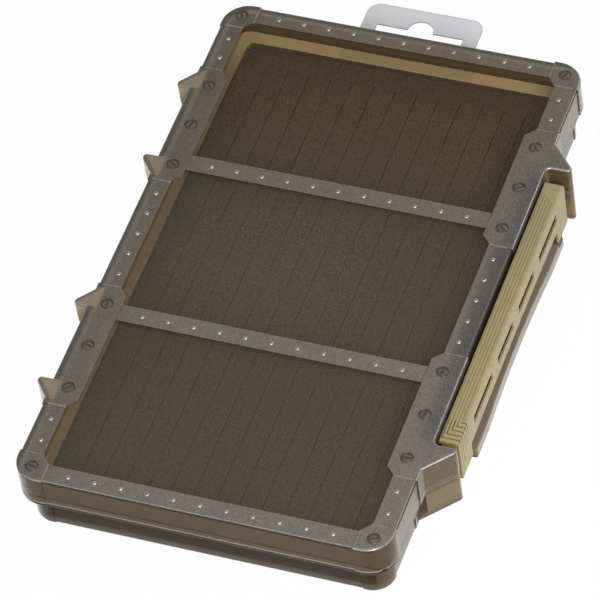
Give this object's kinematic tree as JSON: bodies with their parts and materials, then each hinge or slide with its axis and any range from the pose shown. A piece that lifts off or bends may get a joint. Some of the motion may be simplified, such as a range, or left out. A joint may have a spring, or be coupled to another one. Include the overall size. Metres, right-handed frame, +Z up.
{
  "type": "fly box",
  "caption": "Slim rectangular fly box: hinged translucent lid with three windows, swinging side latch, slit foam insert and a hang tab.",
  "frame": {"origin": "centre of the base tray's flat underside", "axes": "+X along the length towards the hang tab, +Y towards the hinges, -Y towards the latch, +Z up through the closed lid"},
  "size_m": [0.2251, 0.137, 0.026],
  "materials": {
    "smoke_plastic": "satin",
    "tan_plastic": "satin",
    "foam": "matte",
    "adhesive": "matte",
    "clear_sheet": "gloss",
    "pin_steel": "satin"
  },
  "bodies": {
    "base": {"base_tray": "smoke_plastic", "foam_insert": "foam", "foam_adhesive": "adhesive", "hang_tab": "clear_sheet", "hinge_pin_near": "pin_steel", "hinge_pin_far": "pin_steel", "latch_pin_near": "pin_steel", "latch_pin_far": "pin_steel"},
    "lid": {"lid": "smoke_plastic"},
    "latch": {"latch": "tan_plastic"}
  },
  "joints": [
    {"name": "lid_hinge", "type": "hinge", "parent": "base", "child": "lid", "pos_m": [0, 0.0642, 0.0146], "axis": [-1, 0, 0], "range_deg": [0, 180]},
    {"name": "latch_pivot", "type": "hinge", "parent": "base", "child": "latch", "pos_m": [0, -0.0662, 0.0092], "axis": [1, 0, 0], "range_deg": [0, 90]}
  ]
}
